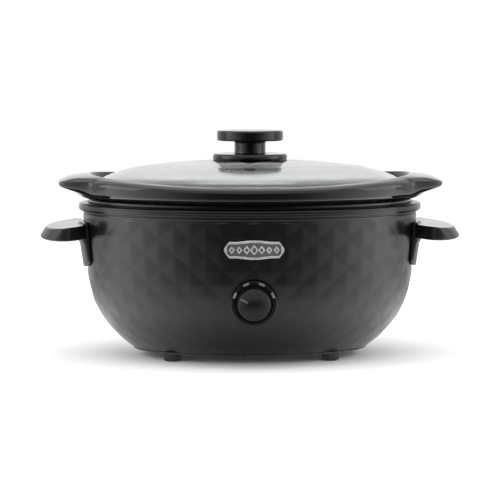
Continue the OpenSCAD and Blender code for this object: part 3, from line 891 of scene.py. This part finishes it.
def crock_profile():
    """Points from the floor's underside over the rim to the floor's top.

    Each is a half length and a height, then how far it shares in the tab's reach and in the rim's
    rise towards the ends, and its own lift in the tab.
    """
    top_in, step_x = CROCK_TOP_X - CROCK_WALL, 165.5
    outside = [(a, z, 0, 0, 0) for a, z in corner(0, 18)]
    rim = [
        (CROCK_TOP_X, WALL_TOP + GAP, 0, 0, 0), (step_x, WALL_TOP + GAP, 0, 0, 0),
        (step_x, 161.5, 0, 0, 0), (169.5, 162.8, 0, 0, 0), (174.5, 163.8, 0.05, 0.1, 0),
        (RIM_HALF_X - 0.8, 167.5, 0.15, 0.25, 0), (RIM_HALF_X, 171.5, 0.93, 0.4, 1),
        (RIM_HALF_X, 175, 1, 0.5, 0), (178.6, 177.8, 1, 0.5, -0.5), (174.5, RIM_Z, 0.6, 0.72, 0.5),
        (166, RIM_Z, 0, 1, 0), (163.2, RIM_Z - 1.2, 0, 1, 0), (162.6, SEAT_Z, 0, 0, 0),
        (top_in + 1.2, SEAT_Z, 0, 0, 0), (top_in, SEAT_Z - 2, 0, 0, 0), (top_in - 0.5, WALL_TOP, 0, 0, 0),
    ]
    rounding = [1.5, 1.2, 0.6, 1.6, 2.0, 1.6, 1.2, 1.5, 1.3, 1.8, 1.6, 1.4, 1.0, 0.8, 1.2, 6]
    inside = [(a, z, 0, 0, 0) for a, z in corner(-CROCK_WALL, 18)[::-1]]
    chain = soften([outside[-1]] + rim + [inside[0]], [0] + rounding + [0], 5)
    return outside[:-1] + chain + inside[1:]


def crock_ring(a, z, reach_share, rise_share, tab_lift, count):
    """One ring of the crock; inside the tab's window its points are drawn out to the tab's tip."""
    tab_side_x, tip_rounding = 90, 4
    q = step_angles(count)
    x, y = a * np.cos(q), (a - OVAL_INSET) * np.sin(q)
    window = smooth((TAB_HALF_Y + TAB_BLEND - np.abs(y)) / TAB_BLEND) * (np.abs(x) > tab_side_x)
    tip = TAB_HALF_X - tip_rounding * (np.abs(y) / TAB_HALF_Y) ** 3
    reach = window * reach_share * (tip - RIM_HALF_X * np.abs(np.cos(q)))
    lift = rise_share * RIM_RISE * np.cos(q) ** 2 + tab_lift * window
    return np.stack([x + np.sign(x) * reach, y, z + lift], axis=1)


def make_crock():
    rings = [crock_ring(*point, 480) for point in crock_profile()]
    crock = stack("crock_pot", rings, sharp=60)
    return fit_out(crock, "crock", "stoneware", "crock")


# ---- Lid ----

DOME_FLAT_X = 30
CENTRE_X = 110
CAP_X = 104
CAP_BEND = 0.0031


def dome_z(a):
    """Height of the lid's top as the part has it: flat in the middle, then falling away."""
    return SHOULDER_Z + DOME_RISE * (1 - (np.maximum(a, DOME_FLAT_X) / SHOULDER_X) ** DOME_POWER)


def lid_ring(a, z, count):
    """Inside CENTRE_X the ovals turn steadily into circles."""
    q = step_angles(count)
    half_depth = a - OVAL_INSET
    if a < CENTRE_X:
        away = a - CENTRE_X
        edge = 1 - OVAL_INSET / CENTRE_X
        slope = OVAL_INSET / CENTRE_X**2
        bend = (1 - edge + slope * CENTRE_X) / CENTRE_X**2
        half_depth = a * (edge + slope * away + bend * away**2)
    return np.stack([a * np.cos(q), half_depth * np.sin(q), np.full(count, float(z))], axis=1)


def cap_z(a):
    """The dome, falling away faster and faster outside CAP_X."""
    return dome_z(a) - CAP_BEND * np.maximum(a - CAP_X, 0) ** 2


def make_lid_glass():
    edge_x, foot_x = LID_HALF_X - 1.6, LID_HALF_X - 5
    rim = [
        (foot_x, SEAT_Z + GAP), (LID_HALF_X, SEAT_Z + GAP), (LID_HALF_X, SEAT_Z + 3),
        (edge_x, cap_z(edge_x)),
    ]
    dome = [(a, cap_z(a)) for a in np.linspace(foot_x, LID_HOLE_R, 60)]
    outside = soften(rim + dome[:1], [0.4, 1.0, 1.4, 1.4, 0], 6)[:-1] + dome
    inside = [(a, z - GLASS) for a, z in dome[1:]]
    profile = outside + inside[::-1]
    lid = stack("lid_glass_dome", [lid_ring(a, z, 360) for a, z in profile], loop=True, sharp=60)
    return fit_out(lid, "lid", "lid_glass", "lid_glass")


GLASS_TOP = float(dome_z(DOME_FLAT_X))


def make_skirt():
    """A cup that rests on the glass by its hub and its edge, hollow between them."""
    foot, hollow, hole_r, hub_r = GLASS_TOP + 0.05, GLASS_TOP + 1.6, 3, 12
    profile = [
        (hole_r, foot), (hub_r, foot), (hub_r, hollow), (SKIRT_R - 3.5, hollow),
        (SKIRT_R - 2.2, foot), (SKIRT_R - 0.4, foot), (SKIRT_R, GLASS_TOP + 1.5),
        (SKIRT_R - 0.5, SKIRT_TOP - 1.2), (SKIRT_R - 2.4, SKIRT_TOP - 0.15),
        (STEM_R + 3, SKIRT_TOP - 0.8), (STEM_R + 0.8, SKIRT_TOP), (hole_r, SKIRT_TOP),
    ]
    rounding = [0, 0.2, 0.2, 0.4, 0.5, 0.6, 1.2, 1.6, 1.8, 2.0, 0.8, 0]
    soft = soften(profile, rounding, 5, closed=True)
    skirt = lathe("knob_skirt_cup", soft, upright(), 144, loop=True, sharp=45)
    return fit_out(skirt, "lid", "knob", "knob_skirt")


def make_knob():
    """A waisted stem under a disc with a slightly dished top, and a blind hole for the screw."""
    dish, hole_r, hole_top = 0.7, 1.95, 218
    profile = [
        (0, hole_top), (hole_r, hole_top), (hole_r, SKIRT_TOP), (STEM_R, SKIRT_TOP),
        (STEM_R - 0.3, SKIRT_TOP + 3), (STEM_R - 0.2, KNOB_BOTTOM - 2), (STEM_R + 1.2, KNOB_BOTTOM),
        (KNOB_R - 0.8, KNOB_BOTTOM), (KNOB_R, KNOB_BOTTOM + 1.0), (KNOB_R, KNOB_TOP - 1.2),
        (KNOB_R - 1.4, KNOB_TOP), (KNOB_R - 9, KNOB_TOP - 0.15), (KNOB_R - 18, KNOB_TOP - dish),
        (0, KNOB_TOP - dish - 0.2),
    ]
    rounding = [0, 0, 0.2, 0.4, 1.5, 1.5, 1.0, 0.5, 0.7, 0.9, 1.0, 3.0, 6.0, 0]
    soft = soften(profile, rounding, 6)
    knob = lathe("lid_knob_moulding", soft, upright(), 144, sharp=50)
    return fit_out(knob, "lid", "knob", "lid_knob")


# ---- All the pieces ----

make_housing()
make_trim_ring()
make_liner()
make_handle(-1, "handle_left")
make_handle(1, "handle_right")
make_badge()
make_bezel()
make_marks()
make_dial()
make_pointer()
for depth, sy in (("front", -1), ("rear", 1)):
    for hand, sx in (("left", -1), ("right", 1)):
        make_foot(sx, sy, f"foot_{depth}_{hand}")
make_bushing()
make_crock()
make_lid_glass()
make_skirt()
make_knob()

# Inner parts that stay the CAD's own solids, with their materials.
CARRIED_OVER = {
    "heater_band": "heater",
    "heater_clamp": "steel",
    "base_cover": "base",
    "base_stud": "steel",
    "base_nut": "steel",
    "foot_screws": "steel",
    "handle_screws": "steel",
    "rotary_switch": "switch_body",
    "switch_nut": "steel",
    "terminal_block": "ceramic",
    "thermal_fuse": "steel",
    "lead_wires": "wire",
    "lid_washer": "washer",
    "lid_screw": "steel",
    "switch_shaft": "steel",
}
for node, finish in CARRIED_OVER.items():
    nodes[node].data.materials.clear()
    nodes[node].data.materials.append(materials[finish])

# ---- Studio, in metres ----

FLOOR_HALF = 9
WORLD_STRENGTH = 1.08
SURROUND_RADIUS, SURROUND_HEIGHT, SURROUND_SECTORS = 2.6, 0.95, 64
TABLE_Z = 0.002

# The surround's brightness: straight ahead from NEAR to FAR, at the sides, and where the room shows.
NEAR, FAR, NEAR_LEVEL, FAR_LEVEL = 0.2, 0.42, 0.9, 0.015
SIDE_LEVEL, SIDE_NARROWING = 2.6, 2.9
OPEN_BEHIND, OPEN_ABOVE, ROOM_LEVEL = (-0.1, 0.2), (0.5, 0.95), 1.0

# The object's own shade on the table: an oval of about 1 / SHADE_SHRINK, which fades out over SHADE_EDGE.
SHADE_SHRINK, SHADE_EDGE, SHADE_LEVEL = (6.6, 9.2, 0), (0.75, 1.35), 0.25


def pale_floor():
    s = Shader("pale_floor", Roughness=0.9, Specular_IOR_Level=0.0)
    s.drive("Base Color", s.blend(s.noise(3, 2), grey(0.94), grey(0.96)))
    return s


def make_floor():
    low, high = -FLOOR_HALF, FLOOR_HALF
    corners = [(low, low, 0), (high, low, 0), (high, high, 0), (low, high, 0)]
    floor = add_mesh("floor", corners, [(0, 1, 2, 3)])
    floor.data.materials.append(pale_floor().material)


def gloss_surround():
    """What gloss reflects low down: dark straight ahead, pale at the object's sides and close to it."""
    black, white = (0, 0, 0, 1), (1, 1, 1, 1)
    s = Shader(
        "gloss_surround", Base_Color=black, Emission_Color=white, Roughness=1.0, Specular_IOR_Level=0.0
    )
    axes = s.split(s.place)
    flat = s.add("ShaderNodeCombineXYZ", {"X": axes["X"], "Y": axes["Y"], "Z": 0.0}).outputs["Vector"]
    distance = s.vector_math("LENGTH", flat, output="Value")
    ahead = s.between(distance, NEAR, FAR, NEAR_LEVEL, FAR_LEVEL)
    sideways = s.math("POWER", s.math("DIVIDE", s.math("ABSOLUTE", axes["X"]), distance), SIDE_NARROWING)
    low_level = s.fade(sideways, ahead, SIDE_LEVEL)
    behind = s.between(axes["Y"], *OPEN_BEHIND, 0, 1)
    above = s.between(axes["Z"], *OPEN_ABOVE, 0, 1)
    level = s.fade(s.math("MAXIMUM", behind, above), low_level, ROOM_LEVEL)
    footprint = s.vector_math("LENGTH", s.vector_math("MULTIPLY", flat, SHADE_SHRINK), output="Value")
    shade = s.between(footprint, *SHADE_EDGE, SHADE_LEVEL, 1)
    s.drive("Emission Strength", s.math("MULTIPLY", level, shade))
    return s


def make_surround():
    """A table and a low wall in front that only gloss reflects, as cards do in a studio."""
    points, faces = [(0, 0, TABLE_Z)], []
    for k in range(SURROUND_SECTORS):
        turn = 2 * math.pi * k / SURROUND_SECTORS
        x, y = SURROUND_RADIUS * math.cos(turn), SURROUND_RADIUS * math.sin(turn)
        points += [(x, y, TABLE_Z), (x, y, SURROUND_HEIGHT)]
    for k in range(SURROUND_SECTORS):
        low, after = 1 + 2 * k, 1 + 2 * ((k + 1) % SURROUND_SECTORS)
        faces.append((0, low, after))
        in_front = math.sin(2 * math.pi * (k + 0.5) / SURROUND_SECTORS) < 0
        if in_front:
            faces.append((low, after, after + 1, low + 1))
    surround = add_mesh("gloss_surround", points, faces)
    surround.data.materials.append(gloss_surround().material)
    surround.visible_camera = False
    surround.visible_diffuse = False
    surround.visible_transmission = False
    surround.visible_shadow = False
    surround.visible_volume_scatter = False


def make_world():
    world = bpy.data.worlds.new("soft_room")
    world.use_nodes = True
    background = world.node_tree.nodes["Background"]
    background.inputs["Color"].default_value = (1, 1, 1, 1)
    background.inputs["Strength"].default_value = WORLD_STRENGTH
    bpy.context.scene.world = world


def area_light(name, place, target, size, power):
    """A rectangular light at one place, turned towards another."""
    data = bpy.data.lights.new(name, "AREA")
    data.shape = "RECTANGLE"
    data.size, data.size_y = size
    data.energy = power
    light = bpy.data.objects.new(name, data)
    light.location = place
    light.rotation_euler = (Vector(target) - Vector(place)).to_track_quat("-Z", "Y").to_euler()
    light.visible_camera = False
    bpy.context.scene.collection.objects.link(light)


def make_lights():
    area_light("top_light", (0, -0.25, 1.9), (0, -0.25, 0), (2.6, 1.5), 18)
    area_light("left_light", (-1.7, -0.3, 0.9), (0, 0, 0.12), (1.2, 1.2), 9)
    area_light("right_light", (1.7, -0.3, 0.9), (0, 0, 0.12), (1.2, 1.2), 7)


def make_camera():
    """A long lens a little above the object and a little to its left."""
    data = bpy.data.cameras.new("camera")
    data.lens = 126.3
    data.sensor_width = 36
    data.clip_end = 50
    camera = bpy.data.objects.new("camera", data)
    camera.location = (-0.06, -1.8, 0.287)
    pitch, yaw = math.radians(5.69), math.radians(1.909)
    camera.rotation_euler = (math.pi / 2 - pitch, 0, -yaw)
    bpy.context.scene.collection.objects.link(camera)
    bpy.context.scene.camera = camera


make_floor()
make_surround()
make_world()
make_lights()
make_camera()
bpy.context.scene.view_settings.view_transform = "Standard"
